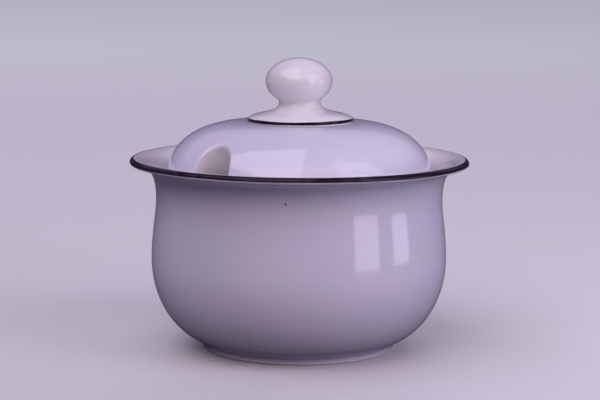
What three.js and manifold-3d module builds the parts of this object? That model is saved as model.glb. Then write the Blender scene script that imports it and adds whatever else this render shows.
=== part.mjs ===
// A sugar bowl with a lid, in glazed porcelain: millimetres, +Z up.
// The origin is the centre of the ring that the bowl stands on, and the spoon notch faces -Y.
// Bowl, lid and knob are revolved half-sections, and the notch is a leaning groove in the lid's side.

import * as THREE from "three";
import { mergeVertices } from "three/addons/utils/BufferGeometryUtils.js";
import Module from "manifold-3d";

// Bowl: foot, belly, neck and flared rim, from the bottom up
const FOOT_R = 32.9;
const FOOT_W = 3.6; // width of the ring that the bowl stands on
const FOOT_EDGE = 0.6; // rounding of that ring's two edges
const FOOT_DEPTH = 2.3; // hollow under the base, inside the foot
const BELLY_TUCK = 5.25; // how far the belly's lower curve runs in under the foot's edge
const BELLY_R = 50.7;
const BELLY_Z = 30.8; // height of the widest ring
const BELLY_DROP = 29.15; // from the widest ring to where the lower curve would run level
const SHOULDER_RISE = 24.0; // from the widest ring to the neck
const NECK_R = 49.1;
const NECK_H = 1.7; // straight stretch below the flare
const FLARE_OUT = 7.4;
const FLARE_RISE = 6.0;
const LIP_T = 3.0; // thickness of the lip, whose nose is a half round
const WALL = 3.2;
const FLOOR_T = 4.2;

// Gallery: the ledge inside the neck that carries the lid
const LEDGE_W = 3.0;
const LEDGE_T = 3.5; // height of the ledge's inner edge
const LEDGE_EDGE = 0.8; // rounding of that edge
const RECESS_H = 1.5; // straight wall round the lid, between the ledge and the flare

// Lid: a straight skirt, a dome and a flat land for the knob
const LID_CLEARANCE = 0.4; // all round, between the lid and the wall of the recess
const SEAT_GAP = 0.3; // between the lid and the ledge
const LID_WALL = 3.2;
const LID_EDGE = 0.5; // rounding of the lower edge
const SKIRT_H = 2.7;
const DOME_RISE = 19.9; // from the skirt to the land
const DOME_CROWN = 14.0; // reach of the curve's flat upper end
const DOME_SHOULDER = 14.4; // reach of the curve's upright lower end
const LAND_MARGIN = 0.3; // how far the land stands out round the knob

// Spoon notch: a round groove in the lid's side, with the lid's wall carried round behind it
const GROOVE_HALF_W = 8.0;
const GROOVE_OUT = 0.9; // from the lid's edge out to the groove's axis
const GROOVE_DEPTH = 8.0; // from the axis to the back of the groove, at its top
const GROOVE_TOP = 17.2; // height of that top above the lid's lower edge
const GROOVE_LEAN = 0.45; // by how much the groove deepens, per height, on its way down

// Knob: a spreading foot, a waist and a flattened ball
const KNOB_JOINT = 0.1; // layer of slip that holds the knob on the land
const KNOB_FOOT_R = 18.0;
const KNOB_EDGE_H = 1.15; // upright edge of the foot
const KNOB_SWEEP_OUT = 2.1; // rise of the foot's curve over its edge
const KNOB_SWEEP_IN = 4.2; // drop of the same curve below the waist
const KNOB_SHOULDER = 4.0; // how far in that rise happens
const WAIST_R = 6.9;
const WAIST_LEAD = 0.7; // straight lead of the waist into the ball's fillet
const BALL_MEET = 1.3; // how far outside the waist the fillet meets the ball
const BALL_R = 11.4;
const BALL_HALF_H = 8.0;
const BALL_Z = 13.6; // height of the ball's centre above the foot's underside

// Fired-on colour lines, flush with the glaze in shallow grooves
const LINE_T = 0.25;
const LINE_BED = 0.05; // film of glaze between a line and the body
const RIM_LINE_W = 2.2; // measured round the nose of the lip
const RIM_LINE_START = 0.15; // from the crest of the lip to the line
const KNOB_LINE_W = 0.9; // at the top of the knob foot's upright edge

// Facets
const ROUND_STEPS = 48;
const KNOB_STEPS = 40;
const LONG_CURVE = 8;
const SHORT_CURVE = 4;
const EDGE_CURVE = 2;

// Heights and radii that follow from the sizes above
const baseR = FOOT_R - BELLY_TUCK;
const neckZ = BELLY_Z + SHOULDER_RISE;
const flareZ = neckZ + NECK_H;
const noseR = LIP_T / 2;
const lipR = NECK_R + FLARE_OUT;
const crestZ = flareZ + FLARE_RISE + LIP_T;
const noseZ = crestZ - noseR;
const recessR = NECK_R - WALL;
const ledgeZ = flareZ - RECESS_H;
const ledgeR = recessR - LEDGE_W;
const lidR = recessR - LID_CLEARANCE;
const lidZ = ledgeZ + SEAT_GAP;
const landR = KNOB_FOOT_R + LAND_MARGIN;
const landH = SKIRT_H + DOME_RISE;

// Glazes
const paleGlaze = { color: 0xdfe2ee, roughness: 0.14, metalness: 0 };
const whiteGlaze = { color: 0xf1eeec, roughness: 0.12, metalness: 0 };
const lineColour = { color: 0x1d1c2b, roughness: 0.2, metalness: 0 };

const wasm = await Module();
wasm.setup();

const at = (radius, height) => new THREE.Vector2(radius, height);

// Evenly spaced points along a curve, in a whole number of steps.
function along(curve, steps) {
  return curve.getPoints(Math.round(steps));
}

// Points of an elliptical arc between two angles in radians, counted from the outward radius upwards.
function arc(radius, height, out, up, from, to, steps) {
  return along(new THREE.EllipseCurve(radius, height, out, up, from, to, from > to), steps);
}

// Points of a cubic curve from its two ends and the two handles that pull it.
function sweep(start, startHandle, endHandle, end, steps) {
  return along(new THREE.CubicBezierCurve(start, startHandle, endHandle, end), steps);
}

// Points of a gentle double curve that stands upright at both ends.
function upright(start, end, steps) {
  const middle = (start.y + end.y) / 2;
  return sweep(start, at(start.x, middle), at(end.x, middle), end, steps);
}

// A half-section of (radius, height) points turned about the Z axis.
function revolve(section, steps) {
  return new THREE.LatheGeometry(section, steps).rotateX(Math.PI / 2);
}

function toSolid(geometry) {
  const bare = geometry.clone().deleteAttribute("normal").deleteAttribute("uv");
  const merged = mergeVertices(bare);
  return new wasm.Manifold(
    new wasm.Mesh({
      numProp: 3,
      vertProperties: merged.attributes.position.array,
      triVerts: new Uint32Array(merged.index.array),
    }),
  );
}

function toGeometry(solid) {
  const { vertProperties, triVerts } = solid.getMesh();
  const geometry = new THREE.BufferGeometry();
  geometry.setAttribute("position", new THREE.BufferAttribute(vertProperties, 3));
  geometry.setIndex(new THREE.BufferAttribute(triVerts, 1));
  geometry.computeVertexNormals();
  return geometry;
}

function part(name, geometry, finish) {
  const mesh = new THREE.Mesh(geometry, new THREE.MeshStandardMaterial(finish));
  mesh.name = name;
  return mesh;
}

// Angles on the nose of the lip between which the rim line lies, from its upper to its lower edge.
const rimLineTop = Math.PI / 2 - RIM_LINE_START / noseR;
const rimLineLow = rimLineTop - RIM_LINE_W / noseR;
const rimLineEnd = LINE_BED / noseR;

function noseArc(depth, from, to, steps) {
  return arc(lipR, noseZ, noseR - depth, noseR - depth, from, to, steps);
}

// The foot ring, rounded on both edges, from the hollow under the base to where the belly starts.
function footSection() {
  const innerR = FOOT_R - FOOT_W;
  return [
    at(0, FOOT_DEPTH),
    at(innerR, FOOT_DEPTH),
    ...arc(innerR + FOOT_EDGE, FOOT_EDGE, FOOT_EDGE, FOOT_EDGE, Math.PI, 1.5 * Math.PI, EDGE_CURVE),
    ...arc(FOOT_R - FOOT_EDGE, FOOT_EDGE, FOOT_EDGE, FOOT_EDGE, 1.5 * Math.PI, 2 * Math.PI, EDGE_CURVE),
  ];
}

// Belly, neck, flare and lip, on the outside, with the groove for the rim line.
function outerSection() {
  const footAngle = Math.asin(BELLY_TUCK / (BELLY_R - baseR)) - Math.PI / 2;
  const groove = LINE_T + LINE_BED;
  return [
    ...arc(baseR, BELLY_Z, BELLY_R - baseR, BELLY_DROP, footAngle, 0, LONG_CURVE),
    ...upright(at(BELLY_R, BELLY_Z), at(NECK_R, neckZ), SHORT_CURVE),
    ...arc(lipR, flareZ, FLARE_OUT, FLARE_RISE, Math.PI, Math.PI / 2, SHORT_CURVE),
    ...noseArc(0, -Math.PI / 2, rimLineLow - rimLineEnd, EDGE_CURVE),
    ...noseArc(groove, rimLineLow - rimLineEnd, rimLineTop + rimLineEnd, SHORT_CURVE),
    ...noseArc(0, rimLineTop + rimLineEnd, Math.PI / 2, 1),
  ];
}

// Inside: the flare, the recess and ledge of the gallery, the belly's hollow and the floor.
function innerSection() {
  const hollowR = BELLY_R - WALL;
  const floorZ = FOOT_DEPTH + FLOOR_T;
  const edgeR = ledgeR + LEDGE_EDGE;
  return [
    ...arc(lipR, flareZ, lipR - recessR, crestZ - flareZ, Math.PI / 2, Math.PI, SHORT_CURVE),
    at(recessR, ledgeZ),
    ...arc(edgeR, ledgeZ - LEDGE_EDGE, LEDGE_EDGE, LEDGE_EDGE, Math.PI / 2, Math.PI, EDGE_CURVE),
    ...upright(at(ledgeR, ledgeZ - LEDGE_T), at(hollowR, BELLY_Z), SHORT_CURVE),
    ...arc(baseR, BELLY_Z, hollowR - baseR, BELLY_Z - floorZ, 0, -Math.PI / 2, LONG_CURVE),
    at(0, floorZ),
  ];
}

// Neighbouring stretches of a section meet in the same point, which is kept once.
function joined(points) {
  const tooClose = 1e-6;
  return points.filter((point, i) => i === 0 || point.distanceTo(points[i - 1]) > tooClose);
}

function makeBowl() {
  const section = joined([...footSection(), ...outerSection(), ...innerSection()]);
  return part("bowl", revolve(section, ROUND_STEPS), paleGlaze);
}

function makeRimLine() {
  const outside = noseArc(0, rimLineLow, rimLineTop, SHORT_CURVE);
  const inside = noseArc(LINE_T, rimLineTop, rimLineLow, SHORT_CURVE);
  const section = [...outside, ...inside, outside[0]];
  return part("rim_line", revolve(section, ROUND_STEPS), lineColour);
}

const dome = new THREE.CubicBezierCurve(
  at(lidR, SKIRT_H),
  at(lidR, SKIRT_H + DOME_SHOULDER),
  at(landR + DOME_CROWN, landH),
  at(landR, landH),
);

// The dome's inner face: each point of the outer curve, moved in by the wall along the curve's normal.
function domeInside() {
  const outside = along(dome, LONG_CURVE);
  return outside.map((point, i) => {
    const tangent = dome.getTangent(i / (outside.length - 1));
    return at(point.x - LID_WALL * tangent.y, point.y + LID_WALL * tangent.x);
  });
}

// The body of the groove, or with a margin that of the wall behind it: level ellipses round the groove's
// axis that deepen on the way down.
function grooveBody(margin) {
  const low = -2 * LID_EDGE;
  const halfW = GROOVE_HALF_W + margin;
  const body = revolve([at(0, low), at(halfW, low), at(halfW, landH), at(0, landH)], KNOB_STEPS);
  const points = body.attributes.position;
  for (let i = 0; i < points.count; i += 1) {
    const depth = GROOVE_DEPTH + margin + GROOVE_LEAN * (GROOVE_TOP - points.getZ(i));
    points.setY(i, (points.getY(i) * depth) / halfW);
  }
  return toSolid(body.translate(0, -lidR - GROOVE_OUT, 0));
}

// The lid as one full body, and the body of its hollow, which is open downwards.
function lidBody() {
  return toSolid(
    revolve(
      joined([
        at(0, 0),
        ...arc(lidR - LID_EDGE, LID_EDGE, LID_EDGE, LID_EDGE, 1.5 * Math.PI, 2 * Math.PI, EDGE_CURVE),
        ...along(dome, LONG_CURVE),
        at(0, landH),
      ]),
      ROUND_STEPS,
    ),
  );
}

function lidHollow() {
  const edgeR = lidR - LID_WALL + LID_EDGE;
  return toSolid(
    revolve(
      joined([
        at(0, -LID_EDGE),
        at(edgeR, -LID_EDGE),
        ...arc(edgeR, LID_EDGE, LID_EDGE, LID_EDGE, 1.5 * Math.PI, Math.PI, EDGE_CURVE),
        ...domeInside(),
        at(0, landH - LID_WALL),
      ]),
      ROUND_STEPS,
    ),
  );
}

function makeLid() {
  const body = lidBody().subtract(grooveBody(0));
  const hollow = lidHollow().subtract(grooveBody(LID_WALL));
  return part("lid", toGeometry(body.subtract(hollow)), paleGlaze);
}

function makeKnob() {
  const lineLow = KNOB_EDGE_H - KNOB_LINE_W - LINE_BED;
  const grooveR = KNOB_FOOT_R - LINE_T - LINE_BED;
  const grooveTop = KNOB_EDGE_H + LINE_BED;
  const meetR = WAIST_R + BALL_MEET;
  const meetAngle = -Math.acos(meetR / BALL_R);
  const meetZ = BALL_Z + BALL_HALF_H * Math.sin(meetAngle);
  const slope = -BALL_HALF_H / (BALL_R * Math.tan(meetAngle));
  const leadZ = meetZ - slope * BALL_MEET;
  const waistZ = leadZ - WAIST_LEAD;
  const sweepStart = at(KNOB_FOOT_R, grooveTop);
  const sweepOut = at(KNOB_FOOT_R - KNOB_SHOULDER, grooveTop + KNOB_SWEEP_OUT);
  const sweepIn = at(WAIST_R, waistZ - KNOB_SWEEP_IN);
  const fillet = new THREE.QuadraticBezierCurve(at(WAIST_R, waistZ), at(WAIST_R, leadZ), at(meetR, meetZ));
  const section = joined([
    at(0, 0),
    at(KNOB_FOOT_R, 0),
    at(KNOB_FOOT_R, lineLow),
    at(grooveR, lineLow),
    at(grooveR, grooveTop),
    ...sweep(sweepStart, sweepOut, sweepIn, at(WAIST_R, waistZ), LONG_CURVE),
    ...along(fillet, SHORT_CURVE),
    ...arc(0, BALL_Z, BALL_R, BALL_HALF_H, meetAngle, Math.PI / 2, LONG_CURVE),
  ]);
  return part("knob", revolve(section, KNOB_STEPS), whiteGlaze);
}

function makeKnobLine() {
  const low = KNOB_EDGE_H - KNOB_LINE_W;
  const innerR = KNOB_FOOT_R - LINE_T;
  const section = [
    at(innerR, low),
    at(KNOB_FOOT_R, low),
    at(KNOB_FOOT_R, KNOB_EDGE_H),
    at(innerR, KNOB_EDGE_H),
    at(innerR, low),
  ];
  return part("knob_line", revolve(section, KNOB_STEPS), lineColour);
}

const knobGroup = new THREE.Group();
knobGroup.add(makeKnob(), makeKnobLine());
knobGroup.position.z = landH + KNOB_JOINT;

const lidGroup = new THREE.Group();
lidGroup.add(makeLid(), knobGroup);
lidGroup.position.z = lidZ;

const sugarBowl = new THREE.Group();
sugarBowl.add(makeBowl(), makeRimLine(), lidGroup);

export default sugarBowl;
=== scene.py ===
"""A lidded porcelain sugar bowl: glazed surfaces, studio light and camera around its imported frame.

Units are metres, +Z is up, and azimuths are counted from -Y, where the lid's spoon notch is, towards +X.
"""

import logging
import math
from collections.abc import Sequence
from dataclasses import dataclass, field
from enum import Enum
from typing import Any

import bpy
import numpy as np
from mathutils import Matrix, Vector


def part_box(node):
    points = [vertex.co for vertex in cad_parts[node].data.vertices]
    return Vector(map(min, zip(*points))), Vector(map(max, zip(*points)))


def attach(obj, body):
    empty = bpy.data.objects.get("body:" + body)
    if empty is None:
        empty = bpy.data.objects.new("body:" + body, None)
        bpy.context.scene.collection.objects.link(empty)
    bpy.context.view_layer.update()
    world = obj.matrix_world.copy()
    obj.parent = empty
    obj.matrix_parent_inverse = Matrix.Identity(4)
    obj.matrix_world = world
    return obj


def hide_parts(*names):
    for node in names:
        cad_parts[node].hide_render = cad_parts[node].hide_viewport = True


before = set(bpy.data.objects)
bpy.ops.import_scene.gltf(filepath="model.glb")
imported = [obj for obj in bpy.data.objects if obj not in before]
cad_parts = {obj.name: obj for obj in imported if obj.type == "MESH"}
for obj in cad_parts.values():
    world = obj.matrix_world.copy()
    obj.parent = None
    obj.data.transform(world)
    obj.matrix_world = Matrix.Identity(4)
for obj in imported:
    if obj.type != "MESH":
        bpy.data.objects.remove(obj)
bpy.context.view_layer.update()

Array = np.ndarray
Point = tuple[float, float]
Span = tuple[float, float]
Colour = tuple[float, float, float]
Socket = bpy.types.NodeSocket

MM = 0.001
FULL_TURN = 2.0 * math.pi
QUARTER_TURN = math.pi / 2.0
UP = Vector((0.0, 0.0, 1.0))
SEAT_SLACK = 0.02 * MM
LOG = logging.getLogger("sugar_bowl")


class Body(Enum):
    """Rigid bodies of the frame."""

    BOWL = "bowl"
    LID = "lid"


class Slot(Enum):
    """Material slots of the record."""

    PALE = "pale_glaze"
    WHITE = "white_glaze"
    LINE = "line_colour"


class Mask(Enum):
    """Point attributes that tell a finish what lies where on a surface."""

    OUTSIDE = "outside"
    THIN = "thin"
    # glaze pooled in corners; on the bowl it also carries painted shade under the flare
    POOL_AND_SHADE = "pool"
    BARE = "bare"
    # painted shade: greys the colour deep in the lid's groove, where shade falls
    PAINTED_SHADE = "deep"


class Kind(Enum):
    """Types of a node group's sockets."""

    FLOAT = "NodeSocketFloat"
    COLOUR = "NodeSocketColor"
    VECTOR = "NodeSocketVector"


# Curves of a half-section, as points of radius and height


def bezier(controls: Sequence[Point], steps: int) -> Array:
    """Bezier curve: the control points summed with Bernstein weights, at even values of the parameter.

    Args:
        controls: two to four control points of radius and height.
        steps: number of steps along the curve.

    Returns:
        Array of (steps + 1, 2) points.
    """
    degree = len(controls) - 1
    t = np.linspace(0.0, 1.0, steps + 1)[:, None]
    k = np.arange(degree + 1)[None, :]
    ways = np.array([math.comb(degree, i) for i in range(degree + 1)], float)
    weights = ways * t**k * (1.0 - t) ** (degree - k)
    return weights @ np.asarray(controls, float)


def arc(centre: Point, radii: Point, start: float, end: float, steps: int) -> Array:
    """Elliptical arc: the centre plus (out cos a, up sin a), for angles a spread evenly between two ends.

    Args:
        centre: radius and height of the ellipse's centre.
        radii: half axes outwards and upwards.
        start: first angle in degrees, counted from the outward radius upwards.
        end: last angle in degrees.
        steps: number of steps along the arc.

    Returns:
        Array of (steps + 1, 2) points.
    """
    angle = np.radians(np.linspace(start, end, steps + 1))
    return np.stack([centre[0] + radii[0] * np.cos(angle), centre[1] + radii[1] * np.sin(angle)], axis=-1)


def raised(point: Point, rise: float) -> Point:
    """A point of a section, moved up by a rise."""
    return point[0], point[1] + rise


def chain(*stretches: Array) -> Array:
    """Stretches of a section set end to end, with each shared point kept once.

    Args:
        stretches: arrays of radius and height, in order.

    Returns:
        Array of (n, 2) points.
    """
    points = np.vstack(stretches)
    apart = np.hypot(*np.diff(points, axis=0).T) > 1e-4 * MM
    return points[np.concatenate([[True], apart])]


def travel(section: Array) -> Array:
    """Length along a section from its first point to each of its points."""
    return np.concatenate([[0.0], np.cumsum(np.hypot(*np.diff(section, axis=0).T))])


def glaze_flow(section: Array, sharp: float = 1.1 * MM, reach: float = 0.5 * MM) -> tuple[Array, Array]:
    """Where glaze runs thin and where it pools along a section.

    The signed curvature is the change of the tangent's angle over the length of a step. It is averaged
    under a bell curve along the section, and compared with that of an edge as sharp as given.

    Args:
        section: points of radius and height, with the outside on the right of the direction of travel.
        sharp: radius of an edge that the glaze runs off altogether.
        reach: width of the bell curve.

    Returns:
        Two arrays from 0 to 1: thin on edges that bulge, and pooled in corners that sink.
    """
    step = np.diff(section, axis=0)
    turn = np.pad(np.diff(np.unwrap(np.arctan2(step[:, 1], step[:, 0]))), 1)
    place = travel(section)
    share = np.gradient(place)
    bell = np.exp(-(((place[:, None] - place[None, :]) / reach) ** 2))
    curvature = (bell @ turn) / (bell @ share)
    return np.clip(curvature * sharp, 0.0, 1.0), np.clip(-curvature * sharp, 0.0, 1.0)


def fade(values: Array, start: float, end: float) -> Array:
    """Smooth step from 0 at start to 1 at end: 3 t^2 - 2 t^3 of the place t between them."""
    t = np.clip((values - start) / (end - start), 0.0, 1.0)
    return t * t * (3.0 - 2.0 * t)


def wobble(angle: Array, size: float, orders: Sequence[int], seed: int) -> Array:
    """Hand-made unevenness round a ring: a sum of sines of the angle, one per order, with seeded phases.

    Args:
        angle: angles in radians.
        size: largest swing of the first order; each further one has its share divided by its place.
        orders: how many waves of each kind go round the ring.
        seed: seed of the phases.

    Returns:
        Array of the same shape as angle.
    """
    phases = np.random.default_rng(seed).uniform(0.0, FULL_TURN, len(orders))
    waves = [np.sin(n * angle + p) / (i + 1) for i, (n, p) in enumerate(zip(orders, phases))]
    return size * np.sum(waves, axis=0)


# Surfaces on a grid of rows and columns


def around(radius: Array, height: Array, azimuth: Array) -> Array:
    """Points at a radius, height and azimuth: (r sin a, -r cos a, z)."""
    parts = np.broadcast_arrays(radius * np.sin(azimuth), -radius * np.cos(azimuth), height)
    return np.stack(parts, axis=-1)


def between_rows(index: Array) -> Array:
    """Quads between neighbouring rows of point numbers, whose columns run all round."""
    beside = np.roll(index, -1, axis=1)
    return np.stack([index[:-1], beside[:-1], beside[1:], index[1:]], axis=-1)


@dataclass
class Skin:
    """A closed surface on a grid whose columns run round it.

    Attributes:
        grid: (rows, columns, 3) points; rows run so that the outside is on their right.
        masks: point attributes, each of (rows, columns) values.
        poles: whether the first and last row are single points; if not, the last row joins the first.
    """

    grid: Array
    masks: dict[Mask, Array] = field(default_factory=dict)
    poles: bool = True

    def faces(self) -> tuple[Array, Array]:
        """Quads between neighbouring rows and columns, and triangles round the poles.

        Returns:
            Index arrays of (n, 4) and (m, 3).
        """
        rows, columns = self.grid.shape[:2]
        index = np.arange(rows * columns).reshape(rows, columns)
        if not self.poles:
            return between_rows(np.vstack([index, index[:1]])).reshape(-1, 4), np.empty((0, 3), int)
        index[0] = index[0, 0]
        index[-1] = index[-1, 0]
        quads = between_rows(index)
        fans = np.vstack([quads[0][:, [0, 2, 3]], quads[-1][:, [0, 1, 2]]])
        return quads[1:-1].reshape(-1, 4), fans

    def to_object(self, name: str) -> bpy.types.Object:
        """Writes the surface into a new smooth-shaded mesh object at the origin.

        Args:
            name: name of the piece.

        Returns:
            The object, linked to the scene.
        """
        quads, fans = self.faces()
        used, place = np.unique(np.concatenate([quads.ravel(), fans.ravel()]), return_inverse=True)
        quads, fans = place[: quads.size].reshape(-1, 4), place[quads.size :].reshape(-1, 3)
        mesh = bpy.data.meshes.new(name)
        points = self.grid.reshape(-1, 3)[used]
        mesh.from_pydata(points.tolist(), [], quads.tolist() + fans.tolist())
        for mask, values in self.masks.items():
            attribute = mesh.attributes.new(mask.value, "FLOAT", "POINT")
            attribute.data.foreach_set("value", values.reshape(-1)[used].astype(np.float32))
        mesh.shade_smooth()
        mesh.update()
        piece = bpy.data.objects.new(name, mesh)
        bpy.context.scene.collection.objects.link(piece)
        return piece


def turned(section: Array, masks: dict[Mask, Array], columns: int) -> Skin:
    """A half-section turned about the Z axis: every point of it at every azimuth.

    Args:
        section: points of radius and height, from axis to axis.
        masks: one value per point of the section.
        columns: number of azimuths.

    Returns:
        The closed surface.
    """
    azimuth = np.arange(columns) * FULL_TURN / columns
    grid = around(section[:, :1], section[:, 1:], azimuth[None, :])
    spread = {mask: np.repeat(values[:, None], columns, axis=1) for mask, values in masks.items()}
    return Skin(grid, spread)


def seat(piece: bpy.types.Object, node: str, body: Body, finish: bpy.types.Material) -> None:
    """Lets a piece stand for a CAD node, ride on its body and wear a finish.

    Args:
        piece: the piece, in place.
        node: name of the CAD node that it stands for.
        body: body that carries it.
        finish: material of the piece.
    """
    piece.data.materials.append(finish)
    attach(piece, body.value)
    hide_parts(node)
    LOG.info("%s: %d points, rides on %s", piece.name, len(piece.data.vertices), body.value)


# Pieces


@dataclass
class Bowl:
    """The bowl: foot ring, belly, neck, flared rim, and the gallery that carries the lid.

    The rim's radius and height come from the frame; the other sizes are the maker's own.
    """

    rim_radius: float = field(default_factory=lambda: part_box("bowl")[1].x)
    crest: float = field(default_factory=lambda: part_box("bowl")[1].z)
    foot_radius: float = 32.9 * MM
    foot_width: float = 3.6 * MM
    foot_edge: float = 0.6 * MM
    foot_depth: float = 2.3 * MM
    foot_fillet: float = 0.9 * MM
    foot_sweep: float = 1.7 * MM
    belly_tuck: float = 5.25 * MM
    belly_radius: float = 50.7 * MM
    belly_height: float = 30.8 * MM
    belly_drop: float = 29.15 * MM
    shoulder_low: float = 9.0 * MM
    shoulder_high: float = 5.0 * MM
    neck_radius: float = 49.1 * MM
    neck_height: float = 51.5 * MM
    flare_rise: float = 8.7 * MM
    flare_reach: float = 4.9 * MM
    lip: float = 3.0 * MM
    lip_under: float = 0.75 * MM
    wall: float = 3.2 * MM
    floor: float = 4.2 * MM
    ledge_width: float = 3.0 * MM
    ledge_thickness: float = 3.5 * MM
    ledge_edge: float = 0.8 * MM
    ledge_fillet: float = 0.6 * MM
    ledge_height: float = 55.0 * MM
    recess: float = 1.5 * MM
    bare_share: float = 0.4
    # painted shade under the flare: share of the pooled colour, and how far above the neck it begins
    flare_painted_shade: float = 0.55
    painted_shade_start: float = 1.0 * MM
    columns: int = 224

    @property
    def nose(self) -> float:
        """Radius of the lip's round nose; below its middle the nose is flatter."""
        return self.lip / 2.0

    @property
    def nose_centre(self) -> Point:
        """Radius and height of the centre of that nose."""
        return self.rim_radius - self.nose, self.crest - self.nose

    def foot_section(self) -> Array:
        """Underside: the hollow inside the foot, a fillet, and the standing ring with two round edges.

        Returns:
            Points of radius and height, outwards from the axis.
        """
        inner = self.foot_radius - self.foot_width
        edge, fillet = self.foot_edge, self.foot_fillet
        return chain(
            bezier([(0.0, self.foot_depth), (inner - fillet, self.foot_depth)], 24),
            arc((inner - fillet, self.foot_depth - fillet), (fillet, fillet), 90.0, 0.0, 8),
            arc((inner + edge, edge), (edge, edge), 180.0, 270.0, 8),
            bezier([(inner + edge, 0.0), (self.foot_radius - edge, 0.0)], 6),
            arc((self.foot_radius - edge, edge), (edge, edge), 270.0, 360.0, 8),
        )

    def outer_section(self) -> Array:
        """Outside: a sweep off the foot, a quarter ellipse, an S-curve to the neck, the flare and the nose.

        Returns:
            Points of radius and height, upwards.
        """
        foot, base = self.foot_radius, self.foot_radius - self.belly_tuck
        out, up = self.belly_radius - base, self.belly_drop
        start = math.asin((self.belly_tuck + self.foot_sweep) / out)
        sweep_end = self.belly_height - up * math.cos(start)
        corner = sweep_end - self.foot_sweep * math.tan(start) * up / out
        belly, neck = (self.belly_radius, self.belly_height), (self.neck_radius, self.neck_height)
        under = raised(self.nose_centre, -self.lip_under)
        flare_end = (under[0] - self.flare_reach, under[1])
        return chain(
            bezier([(foot, self.foot_edge), (foot, corner), (foot + self.foot_sweep, sweep_end)], 14),
            arc((base, self.belly_height), (out, up), math.degrees(start) - 90.0, 0.0, 72),
            bezier([belly, raised(belly, self.shoulder_low), raised(neck, -self.shoulder_high), neck], 48),
            bezier([neck, raised(neck, self.flare_rise), flare_end, under], 40),
            arc(self.nose_centre, (self.nose, self.lip_under), -90.0, 0.0, 14),
            arc(self.nose_centre, (self.nose, self.nose), 0.0, 90.0, 16),
        )

    def inner_section(self) -> Array:
        """Inside: the flare, recess and ledge, an S-curve into the hollow, a quarter ellipse to the floor.

        Returns:
            Points of radius and height, downwards and in to the axis.
        """
        recess_radius = self.neck_radius - self.wall
        flare = (self.nose_centre[0], self.ledge_height + self.recess)
        edge, fillet = self.ledge_edge, self.ledge_fillet
        ledge = (recess_radius - self.ledge_width, self.ledge_height - self.ledge_thickness)
        hollow = (self.belly_radius - self.wall, self.belly_height)
        middle = (ledge[1] + self.belly_height) / 2.0
        base = self.foot_radius - self.belly_tuck
        floor = (base, self.foot_depth + self.floor)
        return chain(
            arc(flare, (flare[0] - recess_radius, self.crest - flare[1]), 90.0, 180.0, 40),
            arc((recess_radius - fillet, self.ledge_height + fillet), (fillet, fillet), 0.0, -90.0, 8),
            arc((ledge[0] + edge, self.ledge_height - edge), (edge, edge), 90.0, 180.0, 8),
            bezier([ledge, (ledge[0], middle), (hollow[0], middle), hollow], 40),
            arc((base, hollow[1]), (hollow[0] - base, hollow[1] - floor[1]), 0.0, -90.0, 56),
            bezier([floor, (0.0, floor[1])], 20),
        )

    def masks(self, section: Array, turn_in: int) -> dict[Mask, Array]:
        """Glaze masks along the section; under the flare the pool mask also carries painted shade.

        Args:
            section: the whole section.
            turn_in: index of the crest, where the outside ends.

        Returns:
            One value per point for each mask.
        """
        thin, pool = glaze_flow(section)
        height = section[:, 1]
        outside = np.arange(len(section)) < turn_in
        standing = outside & (height < self.bare_share * self.foot_edge)
        on_ledge = ~outside & (np.abs(height - self.ledge_height) < SEAT_SLACK)
        # painted shade: the pooled colour laid under the flare, where shade falls
        under_flare_shade = outside * fade(height - self.neck_height, self.painted_shade_start, self.flare_rise)
        return {
            Mask.OUTSIDE: outside.astype(float),
            Mask.THIN: thin,
            Mask.POOL_AND_SHADE: np.maximum(pool, self.flare_painted_shade * under_flare_shade),
            Mask.BARE: (standing | on_ledge).astype(float),
        }

    def build(self, finish: bpy.types.Material) -> None:
        """Turns the section about the axis and seats the piece.

        Args:
            finish: material of the bowl.
        """
        outside = chain(self.foot_section(), self.outer_section())
        section = chain(outside, self.inner_section())
        skin = turned(section, self.masks(section, len(outside) - 1), self.columns)
        seat(skin.to_object("bowl_body"), "bowl", Body.BOWL, finish)

    def outer_radius(self, height: float) -> float:
        """Radius of the outside at a height.

        Args:
            height: a height between the foot and the underside of the lip.

        Returns:
            The radius.
        """
        section = self.outer_section()
        rising = section[section[:, 0] < self.nose_centre[0]]
        return float(np.interp(height, rising[:, 1], rising[:, 0]))


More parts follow.
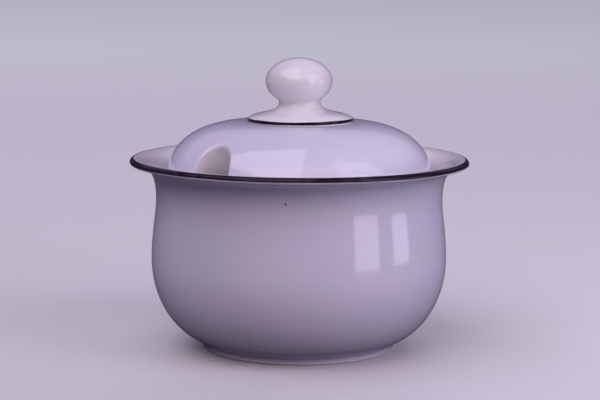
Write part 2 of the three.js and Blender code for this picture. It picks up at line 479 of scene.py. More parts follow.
@dataclass
class Lid:
    """The lid: a domed shell with a straight skirt, a flat land for the knob and a groove for a spoon.

    The shell is a turned section. In the groove its points are moved in, level, to a round wall that leans
    inwards as it goes down; the inner face follows behind it at the thickness of the wall.
    """

    radius: float = field(default_factory=lambda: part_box("lid")[1].x)
    foot: float = field(default_factory=lambda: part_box("lid")[0].z)
    crown: float = field(default_factory=lambda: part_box("lid")[1].z)
    land_radius: float = 18.3 * MM
    land_pool: float = 0.5
    land_pool_width: float = 0.6 * MM
    wall: float = 3.2 * MM
    skirt: float = 2.7 * MM
    shoulder: float = 14.4 * MM
    brow: float = 14.0 * MM
    foot_edge: float = 0.5 * MM
    groove_half: float = 8.1 * MM
    groove_out: float = 0.9 * MM
    groove_depth: float = 8.0 * MM
    groove_top: float = 72.5 * MM
    groove_lean: float = 0.45
    groove_power: float = 0.7
    groove_edge: float = 2.0 * MM
    groove_flare: float = 1.2
    groove_share: float = math.radians(20.0)
    groove_white: float = 0.85
    white_sunk: Span = (0.4 * MM, 2.5 * MM)
    # painted shade deep in the groove: how far sunk and how far below its top the colour greys
    painted_shade_sunk: Span = (1.5 * MM, 5.0 * MM)
    painted_shade_down: Span = (4.5 * MM, 11.5 * MM)
    outline_steps: int = 4000
    groove_columns: int = 172
    columns: int = 352

    def section(self) -> tuple[Array, Array]:
        """Half-section from the hollow's crown down the inner face, round the lower edge and up outside.

        Returns:
            Points of radius and height, and the depth of each under the outer face.
        """
        skirt_top = (self.radius, self.foot + self.skirt)
        brow, land = (self.land_radius + self.brow, self.crown), (self.land_radius, self.crown)
        rising = chain(
            bezier([(self.radius, self.foot + self.foot_edge), skirt_top], 8),
            bezier([skirt_top, raised(skirt_top, self.shoulder), brow, land], 110),
        )
        tangent = np.gradient(rising, travel(rising), axis=0)
        tangent /= np.linalg.norm(tangent, axis=1, keepdims=True)
        falling = (rising + self.wall * np.stack([-tangent[:, 1], tangent[:, 0]], axis=-1))[::-1]
        edge = self.foot_edge
        lower = chain(
            arc((self.radius - self.wall + edge, self.foot + edge), (edge, edge), 180.0, 270.0, 6),
            arc((self.radius - edge, self.foot + edge), (edge, edge), 270.0, 360.0, 6),
        )[1:-1]
        top = bezier([land, (0.0, self.crown)], 12)
        under = top[::-1] - np.array([0.0, self.wall])
        points = np.vstack([under[:-1], falling, lower, rising, top[1:]])
        inside = np.full(len(under) - 1 + len(falling), self.wall)
        outside = np.zeros(len(rising) + len(top) - 1)
        return points, np.concatenate([inside, self.radius - lower[:, 0], outside])

    def hollowed(self, radius: Array, height: Array, depth: Array, azimuth: Array) -> tuple[Array, Array]:
        """Radius with the groove: the smaller of the shell's radius and the groove's, blended at the edge.

        The groove's radius is m - D (1 - u^2)^p: m is its mouth, u the distance aside over its half width,
        and D its depth, which grows downwards; past the half width it flares on in a straight line. The
        blend is h of the way between the two radii, less k h (1 - h), where h runs from 0 to 1 over twice
        the edge k.

        Args:
            radius: radii of the shell.
            height: heights of the shell.
            depth: depths under the outer face.
            azimuth: azimuths from the groove's middle.

        Returns:
            The radii, and the closeness to the groove's edge from 0 to 1.
        """
        mouth = self.radius + self.groove_out
        aside = mouth * np.sin(np.minimum(np.abs(azimuth), QUARTER_TURN)) / (self.groove_half + depth)
        deep = self.groove_depth + depth + self.groove_lean * (self.groove_top - height)
        groove = mouth - deep * np.maximum(1.0 - aside**2, 0.0) ** self.groove_power
        groove = groove + self.groove_flare * self.groove_half * np.maximum(aside - 1.0, 0.0)
        h = np.clip(0.5 + 0.5 * (groove - radius) / self.groove_edge, 0.0, 1.0)
        blended = groove + (radius - groove) * h - self.groove_edge * h * (1.0 - h)
        return blended, 4.0 * h * (1.0 - h)

    def azimuths(self) -> Array:
        """Azimuths of the columns: even along the two outlines of the groove, and even round the rest.

        Returns:
            Array of as many azimuths as there are columns.
        """
        dense = np.linspace(-self.groove_share, self.groove_share, self.outline_steps + 1)
        lengths = np.zeros(len(dense))
        for depth in (0.0, self.wall):
            lower_edge = np.array([self.radius - depth, self.foot, depth])
            outline, _ = self.hollowed(*lower_edge, dense)
            lengths += travel(np.stack([outline * np.sin(dense), outline * np.cos(dense)], axis=-1))
        even = np.linspace(0.0, lengths[-1], self.groove_columns)
        others = self.columns - self.groove_columns
        rest = np.linspace(self.groove_share, FULL_TURN - self.groove_share, others + 2)
        return np.concatenate([np.interp(even, lengths, dense), rest[1:-1]])

    def build(self, finish: bpy.types.Material) -> None:
        """Turns the section, presses the groove into it and seats the piece.

        In the groove the inner glaze takes over, and deep down in it a greyer colour paints in the shade.
        Round the knob, on the land's edge, it has pooled.

        Args:
            finish: material of the lid.
        """
        section, depth = self.section()
        radius, height, depth = section[:, :1], section[:, 1:], depth[:, None]
        azimuth = self.azimuths()[None, :]
        from_groove = (azimuth + math.pi) % FULL_TURN - math.pi
        pressed, closeness = self.hollowed(radius, height, depth, from_groove)
        sunk = radius - pressed
        outside = 1.0 - fade(depth, 0.0, self.foot_edge)
        beside_land = (radius - self.land_radius) / self.land_pool_width
        pooled = self.land_pool * outside * np.exp(-(beside_land**2))
        standing = (height < self.foot + SEAT_SLACK).astype(float)
        # painted shade: deep in the groove, towards its foot, the colour greys where shade falls
        far_down = fade(self.groove_top - height, *self.painted_shade_down)
        masks = {
            Mask.OUTSIDE: outside * (1.0 - self.groove_white * fade(sunk, *self.white_sunk)),
            Mask.THIN: outside * closeness * (np.abs(from_groove) < self.groove_share),
            Mask.POOL_AND_SHADE: np.broadcast_to(pooled, pressed.shape),
            Mask.BARE: np.broadcast_to(standing, pressed.shape),
            Mask.PAINTED_SHADE: outside * fade(sunk, *self.painted_shade_sunk) * far_down,
        }
        skin = Skin(around(pressed, height, azimuth), masks)
        seat(skin.to_object("lid_shell"), "lid", Body.LID, finish)


@dataclass
class Knob:
    """The knob: a spreading foot stuck on the lid with slip, a waist and a flat ball, a little crooked."""

    foot_radius: float = field(default_factory=lambda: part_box("knob")[1].x)
    foot: float = field(default_factory=lambda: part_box("lid")[1].z)
    top: float = field(default_factory=lambda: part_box("knob")[1].z)
    line_top: float = field(default_factory=lambda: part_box("knob_line")[1].z)
    line_gap: float = 0.05 * MM
    slip: float = 0.12 * MM
    edge: float = 0.3 * MM
    sweep_out: float = 2.35 * MM
    sweep_in: float = 3.7 * MM
    shoulder: float = 4.0 * MM
    waist_radius: float = 7.1 * MM
    waist_lead: float = 0.7 * MM
    ball_meet: float = 1.3 * MM
    ball_radius: float = 11.4 * MM
    ball_half: float = 8.0 * MM
    lean: float = math.radians(0.3)
    lean_azimuth: float = math.radians(-49.0)
    lean_start: float = 0.18 * MM
    bend: float = 0.47 * MM
    bend_span: Span = (1.5 * MM, 11.0 * MM)
    off_centre: float = 0.2 * MM
    columns: int = 192

    def section(self) -> Array:
        """Half-section: underside, fillet of slip, upright edge, S-curve to the waist, fillet and ball.

        Returns:
            Points of radius and height, from axis to axis.
        """
        ball = self.top - self.ball_half
        meet_radius = self.waist_radius + self.ball_meet
        meet_angle = -math.acos(meet_radius / self.ball_radius)
        meet = (meet_radius, ball + self.ball_half * math.sin(meet_angle))
        slope = -self.ball_half / (self.ball_radius * math.tan(meet_angle))
        lead = (self.waist_radius, meet[1] - slope * self.ball_meet)
        waist = raised(lead, -self.waist_lead)
        slip_end = (self.foot_radius + self.slip, self.foot)
        corner = (self.foot_radius, self.line_top + self.line_gap)
        edge_top = raised(corner, -self.edge)
        sweep_start = (corner[0] - self.edge, corner[1] + self.edge * self.sweep_out / self.shoulder)
        sweep = (corner[0] - self.shoulder, corner[1] + self.sweep_out)
        return chain(
            bezier([(0.0, self.foot), slip_end], 12),
            arc(raised(slip_end, self.slip), (self.slip, self.slip), 270.0, 180.0, 8),
            bezier([(self.foot_radius, self.foot + self.slip), edge_top], 8),
            bezier([edge_top, corner, sweep_start], 6),
            bezier([sweep_start, sweep, raised(waist, -self.sweep_in), waist], 56),
            bezier([waist, lead, meet], 16),
            arc((0.0, ball), (self.ball_radius, self.ball_half), math.degrees(meet_angle), 90.0, 64),
        )

    def set_crooked(self, points: Array) -> Array:
        """Leans, bends and shifts points as the knob was stuck on.

        A point goes aside by the lean's sine times its height over the foot, and down by that sine times
        its place along the lean, easing in from the foot up. The bend is a smooth step of the height.

        Args:
            points: points of the upright knob, with a last axis of 3.

        Returns:
            The same points, leaning.
        """
        towards = around(np.array(1.0), np.array(0.0), np.array(self.lean_azimuth))
        over = points[..., 2:] - self.foot
        along = (points[..., :2] @ towards[:2])[..., None]
        leant = math.sin(self.lean) * (over * towards - along * np.array(UP))
        bent = self.bend * fade(over, *self.bend_span)
        return points + fade(over, 0.0, self.lean_start) * leant + (bent - self.off_centre) * towards

    def build(self, finish: bpy.types.Material) -> None:
        """Turns the section, sets it crooked and seats the piece.

        Args:
            finish: material of the knob.
        """
        section = self.section()
        thin, pool = glaze_flow(section)
        plain = np.zeros(len(section))
        masks = {Mask.OUTSIDE: plain, Mask.THIN: thin, Mask.POOL_AND_SHADE: pool, Mask.BARE: plain}
        skin = turned(section, masks, self.columns)
        skin.grid = self.set_crooked(skin.grid)
        seat(skin.to_object("knob_turned"), "knob", Body.LID, finish)


@dataclass
class ColourLine:
    """A line of ceramic colour, painted round an edge on the wheel and fired on.

    Across, it is a lens: proud of the glaze in the middle and run out to nothing at its two wavering edges.
    """

    proud: float = 0.035 * MM
    bed: float = 0.12 * MM
    waver: float = 0.05 * MM
    clear: float = 0.15 * MM
    flatness: int = 6
    rows: int = 12
    columns: int = 320

    def lens(self, low: Array, high: Array) -> tuple[Array, Array]:
        """Place across the line and height over the glaze: there on the outside, back under the glaze.

        With t from 0 to 1 across, the outside stands proud by 1 - (2 t - 1)^n, where n is the flatness, and
        the underside is sunk by sin(pi t) of the bed.

        Args:
            low: place of the lower edge at each column.
            high: place of the upper edge at each column.

        Returns:
            Places and heights, each of (rows, columns).
        """
        t = np.linspace(0.0, 1.0, self.rows)[:, None]
        swell = self.proud * (1.0 - (2.0 * t - 1.0) ** self.flatness)
        there = low + (high - low) * t
        sunk = -self.bed * np.sin(math.pi * t[1:-1])
        places = np.vstack([there, there[-2:0:-1]])
        heights = np.repeat(np.vstack([swell, sunk]), self.columns, axis=1)
        return places, heights

    def azimuth(self) -> Array:
        """Azimuth of each column."""
        return np.arange(self.columns) * FULL_TURN / self.columns

    def round_lip(self, bowl: Bowl, finish: bpy.types.Material) -> None:
        """The line on the nose of the lip, laid out in angles round the nose's centre.

        Args:
            bowl: the bowl that carries the line.
            finish: material of the line.
        """
        radius, height = bowl.nose_centre
        azimuth = self.azimuth()
        low, high = (math.asin((corner.z - height) / bowl.nose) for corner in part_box("rim_line"))
        waver_low = wobble(azimuth, self.waver, orders=(3, 7, 12, 23), seed=3)
        waver_high = wobble(azimuth, self.waver, orders=(2, 5, 11, 19), seed=4)
        angle, over = self.lens(low + waver_low / bowl.nose, high + waver_high / bowl.nose)
        reach = bowl.nose + over
        grid = around(radius + reach * np.cos(angle), height + reach * np.sin(angle), azimuth)
        piece = Skin(grid, poles=False).to_object("rim_line_fired")
        seat(piece, "rim_line", Body.BOWL, finish)

    def round_knob(self, knob: Knob, finish: bpy.types.Material) -> None:
        """The line on the upright edge of the knob's foot, a little clear of the lid, laid out in heights.

        Args:
            knob: the knob that carries the line.
            finish: material of the line.
        """
        azimuth = self.azimuth()
        low = knob.foot + self.clear + wobble(azimuth, self.waver, orders=(2, 5, 9, 14), seed=5)
        high = knob.line_top + wobble(azimuth, self.waver, orders=(3, 4, 8, 13), seed=6)
        height, over = self.lens(low, high)
        grid = knob.set_crooked(around(knob.foot_radius + over, height, azimuth))
        piece = Skin(grid, poles=False).to_object("knob_line_fired")
        seat(piece, "knob_line", Body.LID, finish)


# Finishes


class Sheet:
    """A node tree with short calls to add nodes and join their sockets."""

    def __init__(self, tree: bpy.types.NodeTree) -> None:
        """Takes the tree that the nodes go into."""
        self.tree = tree

    def feed(self, node: bpy.types.Node, inputs: dict[Any, Any]) -> None:
        """Joins or sets the inputs of a node.

        Args:
            node: the node.
            inputs: values or output sockets, by the name or number of the input.
        """
        for name, value in inputs.items():
            if isinstance(value, Socket):
                self.tree.links.new(value, node.inputs[name])
            else:
                node.inputs[name].default_value = value

    def add(self, kind: str, inputs: dict[Any, Any] | None = None, **settings: Any) -> bpy.types.Node:
        """Adds a node, sets its options, and joins or sets its inputs.

        Args:
            kind: Blender's name of the node type.
            inputs: values or output sockets, by the name or number of the input.
            settings: properties of the node.

        Returns:
            The node.
        """
        node = self.tree.nodes.new(kind)
        for name, value in settings.items():
            setattr(node, name, value)
        self.feed(node, inputs or {})
        return node

    def group(self, tree: bpy.types.NodeTree, inputs: dict[str, Any]) -> Any:
        """Outputs of a node group that is placed with the given inputs."""
        return self.add("ShaderNodeGroup", inputs, node_tree=tree).outputs

    def maths(self, operation: str, *values: Any) -> Socket:
        """Result of a Math node on values or sockets."""
        return self.add("ShaderNodeMath", dict(enumerate(values)), operation=operation).outputs[0]

    def mixed(self, factor: Any, first: Any, second: Any) -> Socket:
        """Colour between two colours or sockets, by a factor."""
        return self.add("ShaderNodeMix", {0: factor, 6: first, 7: second}, data_type="RGBA").outputs[2]

    def ramp(self, value: Any, start: float, end: float, low: float = 0.0, high: float = 1.0) -> Socket:
        """Smooth step of a value from low at start to high at end."""
        inputs = {"Value": value, "From Min": start, "From Max": end, "To Min": low, "To Max": high}
        return self.add("ShaderNodeMapRange", inputs, interpolation_type="SMOOTHSTEP").outputs[0]

    def noise(self, where: Socket, scale: Any, detail: float) -> Socket:
        """Noise over a place, with so many features to a metre and so many finer layers."""
        inputs = {"Vector": where, "Scale": scale, "Detail": detail}
        return self.add("ShaderNodeTexNoise", inputs).outputs[0]

    def bumped(self, height: Socket) -> Socket:
        """Normal of a surface with a relief, whose height is in metres."""
        inputs = {"Strength": 1.0, "Distance": 1.0, "Height": height}
        return self.add("ShaderNodeBump", inputs).outputs["Normal"]


def opaque(colour: Colour) -> tuple[float, float, float, float]:
    """A colour with full opacity, as colour sockets take it."""
    return (*colour, 1.0)


def new_material(name: str) -> tuple[bpy.types.Material, Sheet, bpy.types.Node]:
    """Starts a material.

    Args:
        name: name of the material.

    Returns:
        The material, its sheet and its shader.
    """
    material = bpy.data.materials.new(name)
    material.use_nodes = True
    return material, Sheet(material.node_tree), material.node_tree.nodes["Principled BSDF"]


def new_group(
    name: str, inputs: dict[Kind, Sequence[str]], outputs: dict[Kind, Sequence[str]]
) -> tuple[Sheet, Any, bpy.types.Node]:
    """Starts a shader node group with named sockets.

    Args:
        name: name of the group.
        inputs: names of its inputs, by their type.
        outputs: names of its outputs, by their type.

    Returns:
        Its sheet, the outputs of its input node, and its output node.
    """
    tree = bpy.data.node_groups.new(name, "ShaderNodeTree")
    for direction, sockets in (("INPUT", inputs), ("OUTPUT", outputs)):
        for kind, names in sockets.items():
            for socket in names:
                tree.interface.new_socket(socket, in_out=direction, socket_type=kind.value)
    sheet = Sheet(tree)
    return sheet, sheet.add("NodeGroupInput").outputs, sheet.add("NodeGroupOutput")


def glaze_relief() -> bpy.types.NodeTree:
    """Group: height of the glaze's surface, in metres.

    Faint rings left by the turning template follow the height, and a fine orange peel lies all over.

    Returns:
        The group's tree.
    """
    sheet, given, made = new_group(
        "glaze_relief",
        {Kind.VECTOR: ("Vector",), Kind.FLOAT: ("Rings", "Ring Spacing", "Peel", "Peel Size")},
        {Kind.FLOAT: ("Height",)},
    )
    height = sheet.add("ShaderNodeSeparateXYZ", {0: given["Vector"]}).outputs[2]
    along = sheet.maths("DIVIDE", height, given["Ring Spacing"])
    inputs = {"W": along, "Scale": 1.0, "Detail": 2.0}
    rings = sheet.add("ShaderNodeTexNoise", inputs, noise_dimensions="1D").outputs[0]
    ringed = sheet.maths("MULTIPLY", rings, given["Rings"])
    peel = sheet.noise(given["Vector"], sheet.maths("DIVIDE", 1.0, given["Peel Size"]), detail=1.0)
    peeled = sheet.maths("MULTIPLY", peel, given["Peel"])
    sheet.feed(made, {"Height": sheet.maths("ADD", ringed, peeled)})
    return sheet.tree


def kiln_specks() -> bpy.types.NodeTree:
    """Group: mask of rare round specks, one in some of the cells of a Voronoi pattern.

    Returns:
        The group's tree.
    """
    sheet, given, made = new_group(
        "kiln_specks",
        {Kind.VECTOR: ("Vector",), Kind.FLOAT: ("Spacing", "Radius", "Share")},
        {Kind.FLOAT: ("Mask",)},
    )
    per_metre = sheet.maths("DIVIDE", 1.0, given["Spacing"])
    cells = sheet.add("ShaderNodeTexVoronoi", {"Vector": given["Vector"], "Scale": per_metre})
    away = sheet.maths("MULTIPLY", cells.outputs["Distance"], given["Spacing"])
    near = sheet.maths("LESS_THAN", away, given["Radius"])
    draw = sheet.add("ShaderNodeSeparateColor", {0: cells.outputs["Color"]}).outputs[0]
    chosen = sheet.maths("LESS_THAN", draw, given["Share"])
    sheet.feed(made, {"Mask": sheet.maths("MULTIPLY", near, chosen)})
    return sheet.tree


def glaze_coat() -> bpy.types.NodeTree:
    """Group: colour and roughness of glazed clay from its masks.

    The outer glaze gives way to the inner one, shows the clay where it has run thin, deepens where it has
    pooled and as painted shade under the bowl's flare, clouds a little, greys as painted shade deep in the
    groove, and leaves the clay bare and dull on the seats.

    Returns:
        The group's tree.
    """
    thin_share, pool_share, cloud_share = 0.75, 0.6, 0.12
    cloudy, gloss, bare_dulling = (0.3, 0.7), (0.07, 0.1), 0.55
    sheet, given, made = new_group(
        "glaze_coat",
        {
            Kind.COLOUR: ("Outer", "Inner", "Thin", "Pooled", "Clay", "Deep"),
            Kind.FLOAT: ("Is Outside", "Is Thin", "Is Pooled", "Is Bare", "Is Deep", "Cloud"),
        },
        {Kind.COLOUR: ("Colour",), Kind.FLOAT: ("Roughness",)},
    )
    colour = sheet.mixed(given["Is Outside"], given["Inner"], given["Outer"])
    colour = sheet.mixed(sheet.maths("MULTIPLY", given["Is Thin"], thin_share), colour, given["Thin"])
    # pooled glaze; under the bowl's flare this also lays painted shade
    colour = sheet.mixed(sheet.maths("MULTIPLY", given["Is Pooled"], pool_share), colour, given["Pooled"])
    colour = sheet.mixed(sheet.ramp(given["Cloud"], *cloudy, 0.0, cloud_share), colour, given["Pooled"])
    # painted shade: the grey deep in the lid's groove
    colour = sheet.mixed(given["Is Deep"], colour, given["Deep"])
    colour = sheet.mixed(given["Is Bare"], colour, given["Clay"])
    dull = sheet.maths("MULTIPLY", given["Is Bare"], bare_dulling)
    roughness = sheet.maths("ADD", sheet.ramp(given["Cloud"], *cloudy, *gloss), dull)
    sheet.feed(made, {"Colour": colour, "Roughness": roughness})
    return sheet.tree


@dataclass(frozen=True)
class Groups:
    """The node groups that the finishes share."""

    relief: bpy.types.NodeTree
    specks: bpy.types.NodeTree
    coat: bpy.types.NodeTree

    @classmethod
    def made(cls) -> "Groups":
        """Builds each group once."""
        return cls(glaze_relief(), kiln_specks(), glaze_coat())


@dataclass(frozen=True)
class Speck:
    """One iron speck that shows as a brown dot with a ragged edge in the glaze."""

    place: tuple[float, float, float]
    radius: float = 0.38 * MM
    grain: float = 0.4 * MM
    ragged: float = 0.8
    core: float = 0.9
    rim: float = 1.7

    def stain(self, sheet: Sheet, where: Socket) -> Socket:
        """Mask of the speck: 1 up to its core and 0 past its rim, over a distance that noise makes uneven.

        Args:
            sheet: sheet of the material.
            where: coordinates of the surface.

        Returns:
            The mask.
        """
        noise = sheet.noise(where, 1.0 / self.grain, detail=2.0)
        away = sheet.add("ShaderNodeVectorMath", {0: where, 1: self.place}, operation="DISTANCE")
        uneven = sheet.maths("MULTIPLY_ADD", noise, self.ragged * self.radius, away.outputs["Value"])
        return sheet.ramp(uneven, self.core * self.radius, self.rim * self.radius, 1.0, 0.0)


@dataclass(frozen=True)
class GlazeFinish:
    """Gloss porcelain glaze: outer and inner colour, thin edges, pools, bare seats, specks and relief.

    Deep in the lid's groove it greys with painted shade; under the bowl's flare its pooled colour is
    painted shade too.
    """

    name: str
    outer: Colour
    inner: Colour
    # pooled glaze, also laid as painted shade under the bowl's flare
    thin: Colour
    pooled: Colour
    clay: Colour = (0.86, 0.84, 0.81)
    # painted shade: the grey laid deep in the lid's groove
    deep: Colour = (0.6, 0.585, 0.58)
    iron: Colour = (0.16, 0.085, 0.055)
    cloud_scale: float = 45.0
    speck_spacing: float = 9.0 * MM
    speck_radius: float = 0.1 * MM
    speck_share: float = 0.25
    speck_strength: float = 0.5
    rings: float = 0.006 * MM
    ring_spacing: float = 3.0 * MM
    peel: float = 0.003 * MM
    peel_size: float = 2.2 * MM
    refraction: float = 1.6
    subsurface: float = 0.3
    subsurface_reach: float = 1.2 * MM
    subsurface_spread: Colour = (1.0, 0.82, 0.72)

    def material(self, groups: Groups, speck: Speck | None = None) -> bpy.types.Material:
        """Builds the material.

        Args:
            groups: the shared node groups.
            speck: the one large speck, where the finish has it.

        Returns:
            The material.
        """
        material, sheet, shader = new_material(self.name)
        where = sheet.add("ShaderNodeTexCoord").outputs["Object"]
        masks = {m: sheet.add("ShaderNodeAttribute", attribute_name=m.value).outputs["Fac"] for m in Mask}
        coat = {
            "Outer": opaque(self.outer),
            "Inner": opaque(self.inner),
            "Thin": opaque(self.thin),
            "Pooled": opaque(self.pooled),
            "Clay": opaque(self.clay),
            "Deep": opaque(self.deep),
            "Is Outside": masks[Mask.OUTSIDE],
            "Is Thin": masks[Mask.THIN],
            "Is Pooled": masks[Mask.POOL_AND_SHADE],
            "Is Bare": masks[Mask.BARE],
            "Is Deep": masks[Mask.PAINTED_SHADE],
            "Cloud": sheet.noise(where, self.cloud_scale, detail=3.0),
        }
        specks = {
            "Vector": where,
            "Spacing": self.speck_spacing,
            "Radius": self.speck_radius,
            "Share": self.speck_share,
        }
        relief = {
            "Vector": where,
            "Rings": self.rings,
            "Ring Spacing": self.ring_spacing,
            "Peel": self.peel,
            "Peel Size": self.peel_size,
        }
        coated = sheet.group(groups.coat, coat)
        specked = sheet.maths("MULTIPLY", sheet.group(groups.specks, specks)["Mask"], self.speck_strength)
        colour = sheet.mixed(specked, coated["Colour"], opaque(self.iron))
        if speck is not None:
            colour = sheet.mixed(speck.stain(sheet, where), colour, opaque(self.iron))
        looks = {
            "Base Color": colour,
            "Roughness": coated["Roughness"],
            "Normal": sheet.bumped(sheet.group(groups.relief, relief)["Height"]),
            "IOR": self.refraction,
            "Subsurface Weight": self.subsurface,
            "Subsurface Radius": self.subsurface_spread,
            "Subsurface Scale": self.subsurface_reach,
        }
        sheet.feed(shader, looks)
        return material


@dataclass(frozen=True)
class LineFinish:
    """Fired-on ceramic colour: blue-black, denser where the brush went slowly, under a quieter gloss."""

    name: str = "fired_line"
    dense: Colour = (0.012, 0.010, 0.018)
    lean: Colour = (0.035, 0.032, 0.06)
    flow_scale: float = 220.0
    lean_flow: Span = (0.45, 0.8)
    dull_flow: Span = (0.3, 0.7)
    roughness: Span = (0.12, 0.2)
    peel: float = 0.002 * MM
    peel_size: float = 0.8 * MM
    refraction: float = 1.45
    specular: float = 0.2

    def material(self, groups: Groups) -> bpy.types.Material:
        """Builds the material.

        Args:
            groups: the shared node groups.

        Returns:
            The material.
        """
        material, sheet, shader = new_material(self.name)
        where = sheet.add("ShaderNodeTexCoord").outputs["Object"]
        flow = sheet.noise(where, self.flow_scale, detail=2.0)
        share = sheet.ramp(flow, *self.lean_flow)
        relief = {
            "Vector": where,
            "Rings": 0.0,
            "Ring Spacing": MM,
            "Peel": self.peel,
            "Peel Size": self.peel_size,
        }
        looks = {
            "Base Color": sheet.mixed(share, opaque(self.dense), opaque(self.lean)),
            "Roughness": sheet.ramp(flow, *self.dull_flow, *self.roughness),
            "Normal": sheet.bumped(sheet.group(groups.relief, relief)["Height"]),
            "IOR": self.refraction,
            "Specular IOR Level": self.specular,
        }
        sheet.feed(shader, looks)
        return material


# Studio


@dataclass(frozen=True)
class Softbox:
    """A large soft light that looks down at the object from an azimuth and an elevation."""

    name: str
    azimuth: float
    elevation: float
    distance: float
    size: Point
    radiance: float
    tint: Colour


@dataclass(frozen=True)
class Panel:
    """An upright light panel across an azimuth, with its middle so far aside of the object's axis."""

    name: str
    azimuth: float
    distance: float
    aside: float
    width: float
    bottom: float
    top: float
    radiance: float


@dataclass
class Studio:
    """Camera, lights, surroundings and floor. Azimuths of the lights are counted from the camera's."""

    azimuth: float = math.radians(40.9)
    camera_distance: float = 620.06 * MM
    camera_height: float = 137.18 * MM
    aim_height: float = 50.635 * MM
    aim_aside: float = 0.27 * MM
    roll: float = math.radians(0.4)
    lens: float = 109.2
    sensor_width: float = 36.0
    surroundings: float = 0.1
    surroundings_tint: Colour = (0.5, 0.36, 1.0)
    floor_colour: Colour = (0.66, 0.67, 0.66)
    card_colour: Colour = (0.113, 0.098, 0.116)
    paper_roughness: float = 0.6
    disc_radius: float = 9.0
    disc_middle: float = 0.05
    disc_rings: int = 24
    disc_columns: int = 96
    disc_drop: float = 0.02 * MM
    canopy_height: float = 4.0
    canopy_size: Point = (5.2, 9.0)
    canopy_centre: Point = (-2.4, -3.9)
    canopy_radiance: float = 1.8
    canopy_tint: Colour = (0.85, 0.795, 1.0)
    softboxes: tuple[Softbox, ...] = (
        Softbox("front", 0.0, math.radians(40.0), 2.0, (3.06, 1.07), 0.92, (1.0, 0.65, 0.55)),
        Softbox("back", math.pi, math.radians(42.5), 2.0, (5.1, 1.26), 0.3, (0.875, 0.785, 1.0)),
    )
    backdrop_height: float = 1.5
    backdrop_size: Point = (8.0, 6.7)
    backdrop_centre: Point = (0.0, 4.65)
    backdrop_radiance: float = 0.7
    backdrop_tint: Colour = (0.92, 0.88, 1.0)
    panel_tint: Colour = (0.875, 0.785, 1.0)
    panels: tuple[Panel, ...] = (
        Panel("near_panel", math.radians(49.7), 0.33, 0.0, 0.114, 0.004, 0.2, 2.5),
        Panel("far_panel", math.radians(79.5), 0.33, 0.0, 0.087, 0.008, 0.16, 2.5),
        Panel("high_panel", math.radians(25.0), 0.5, 0.4, 0.573, 0.2, 0.96, 1.5),
    )

    def direction(self, azimuth: float) -> Vector:
        """Level unit vector towards an azimuth that is counted from the camera's."""
        angle = self.azimuth + azimuth
        return Vector((math.sin(angle), -math.cos(angle), 0.0))

    def overhead(self, centre: Point, height: float) -> Vector:
        """Place at a height over the floor, so far to the camera's right and so far beyond the object."""
        aside, beyond = self.direction(QUARTER_TURN), self.direction(math.pi)
        return aside * centre[0] + beyond * centre[1] + UP * height

    def set_camera(self) -> None:
        """Places the camera at the photograph's viewing angle, with its small roll."""
        towards = self.direction(0.0)
        place = towards * self.camera_distance + UP * self.camera_height
        aim = UP * self.aim_height + UP.cross(towards) * self.aim_aside
        back = (place - aim).normalized()
        right = UP.cross(back).normalized()
        rolled = right * math.cos(self.roll) + back.cross(right) * math.sin(self.roll)
        axes = Matrix((rolled, back.cross(rolled), back)).transposed().to_4x4()
        data = bpy.data.cameras.new("photo_camera")
        data.lens = self.lens
        data.sensor_width = self.sensor_width
        camera = bpy.data.objects.new("photo_camera", data)
        camera.matrix_world = Matrix.Translation(place) @ axes
        bpy.context.scene.collection.objects.link(camera)
        bpy.context.scene.camera = camera

    def add_light(
        self, name: str, place: Vector, back: Vector, size: Point, radiance: float, tint: Colour
    ) -> bpy.types.Object:
        """Adds a rectangular area light that shows in reflections and not to the camera.

        Args:
            name: name of the light.
            place: its centre.
            back: direction that its back faces; its light goes the other way.
            size: width, and height or depth.
            radiance: brightness of its face; its power is that times pi and the area.
            tint: its colour.

        Returns:
            The light.
        """
        data = bpy.data.lights.new(name, "AREA")
        data.shape = "RECTANGLE"
        data.size, data.size_y = size
        data.energy = radiance * math.pi * size[0] * size[1]
        data.color = tint
        light = bpy.data.objects.new(name, data)
        across = self.direction(QUARTER_TURN) if back == UP else UP.cross(back).normalized()
        axes = Matrix((across, back.cross(across), back)).transposed().to_4x4()
        light.matrix_world = Matrix.Translation(place) @ axes
        light.visible_camera = False
        bpy.context.scene.collection.objects.link(light)
        return light

    def hang_lights(self, floor: bpy.types.Object) -> None:
        """Hangs the canopy, the soft boxes and the backdrop's light.

        Args:
            floor: the floor, which alone takes the backdrop's light.
        """
        place = self.overhead(self.canopy_centre, self.canopy_height)
        self.add_light("canopy", place, UP, self.canopy_size, self.canopy_radiance, self.canopy_tint)
        for box in self.softboxes:
            out = self.direction(box.azimuth) * math.cos(box.elevation) + UP * math.sin(box.elevation)
            self.add_light(box.name, out * box.distance, out, box.size, box.radiance, box.tint)
        place = self.overhead(self.backdrop_centre, self.backdrop_height)
        shine = (self.backdrop_radiance, self.backdrop_tint)
        light = self.add_light("backdrop", place, UP, self.backdrop_size, *shine)
        lit = bpy.data.collections.new("backdrop_receivers")
        lit.objects.link(floor)
        light.light_linking.receiver_collection = lit

    def stand_panels(self) -> None:
        """Stands up the panels that the glaze mirrors."""
        for panel in self.panels:
            out, aside = self.direction(panel.azimuth), self.direction(panel.azimuth + QUARTER_TURN)
            middle = (panel.bottom + panel.top) / 2.0
            place = out * panel.distance + aside * panel.aside + UP * middle
            size = (panel.width, panel.top - panel.bottom)
            self.add_light(panel.name, place, out, size, panel.radiance, self.panel_tint)

    def fill_surroundings(self) -> None:
        """Fills the surroundings with an even, weak light."""
        world = bpy.data.worlds.new("studio")
        world.use_nodes = True
        looks = {"Color": opaque(self.surroundings_tint), "Strength": self.surroundings}
        Sheet(world.node_tree).feed(world.node_tree.nodes["Background"], looks)
        bpy.context.scene.world = world
        bpy.context.scene.view_settings.view_transform = "Standard"

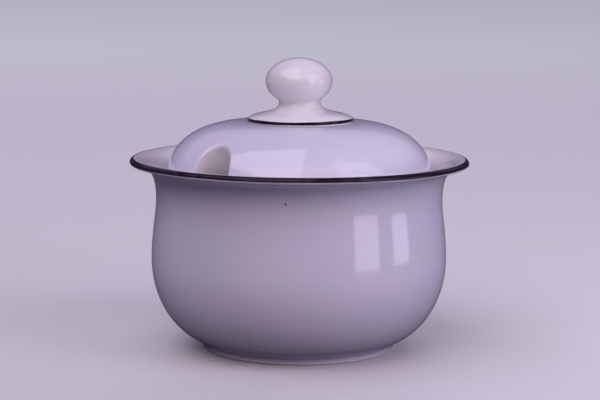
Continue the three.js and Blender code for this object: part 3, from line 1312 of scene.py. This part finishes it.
    def lay_disc(self, name: str, height: float, colour: Colour) -> bpy.types.Object:
        """Lays a plain matt disc round the object: rings whose radii grow by an even factor.

        Args:
            name: name of the disc.
            height: its height over the floor's level.
            colour: its colour.

        Returns:
            The disc.
        """
        rings = np.geomspace(self.disc_middle, self.disc_radius, self.disc_rings)
        radius = np.concatenate([[0.0], rings])[::-1, None]
        azimuth = np.arange(self.disc_columns)[None, :] * FULL_TURN / self.disc_columns
        grid = around(radius, np.array(height), azimuth)
        quads = between_rows(np.arange(radius.size * azimuth.size).reshape(radius.size, -1))
        mesh = bpy.data.meshes.new(name)
        mesh.from_pydata(grid.reshape(-1, 3).tolist(), [], quads.reshape(-1, 4).tolist())
        material, sheet, shader = new_material(name + "_paper")
        sheet.feed(shader, {"Base Color": opaque(colour), "Roughness": self.paper_roughness})
        mesh.materials.append(material)
        disc = bpy.data.objects.new(name, mesh)
        disc.visible_shadow = False
        bpy.context.scene.collection.objects.link(disc)
        return disc

    def lay_floor(self) -> bpy.types.Object:
        """Lays the pale floor that the camera sees, and the dark card that the object sees in its place.

        The card does what a black card does round a white pot in a studio: it keeps light from below off
        the belly and leaves the glaze something dark to mirror.

        Returns:
            The floor.
        """
        floor = self.lay_disc("floor", -self.disc_drop, self.floor_colour)
        floor.visible_diffuse = False
        floor.visible_glossy = False
        card = self.lay_disc("bounce_card", -2.0 * self.disc_drop, self.card_colour)
        card.visible_camera = False
        return floor

    def build(self) -> None:
        """Sets up the camera, the floor and every light."""
        self.set_camera()
        self.hang_lights(self.lay_floor())
        self.stand_panels()
        self.fill_surroundings()


def main() -> None:
    """Builds the pieces from the foot up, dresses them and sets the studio."""
    logging.basicConfig(level=logging.INFO, format="%(message)s")
    Studio().build()
    groups = Groups.made()
    bowl, lid, knob, line = Bowl(), Lid(), Knob(), ColourLine()
    pale = GlazeFinish(
        "pale_glaze_gloss",
        outer=(0.72, 0.735, 0.83),
        inner=(0.86, 0.84, 0.83),
        thin=(0.84, 0.83, 0.85),
        # pooled glaze, and also the painted shade under the bowl's flare
        pooled=(0.60, 0.64, 0.76),
    )
    white = GlazeFinish(
        "white_glaze_gloss",
        outer=(0.85, 0.855, 0.865),
        inner=(0.85, 0.855, 0.865),
        thin=(0.9, 0.89, 0.87),
        pooled=(0.78, 0.77, 0.78),
    )
    speck_azimuth, speck_height = math.radians(35.9), 56.0 * MM
    speck_radius = bowl.outer_radius(speck_height)
    spot = around(np.array(speck_radius), np.array(speck_height), np.array(speck_azimuth))
    pale_material = pale.material(groups, Speck(tuple(spot)))
    white_material = white.material(groups)
    line_material = LineFinish().material(groups)
    bowl.build(pale_material)
    line.round_lip(bowl, line_material)
    lid.build(pale_material)
    knob.build(white_material)
    line.round_knob(knob, line_material)


if __name__ == "__main__":
    main()
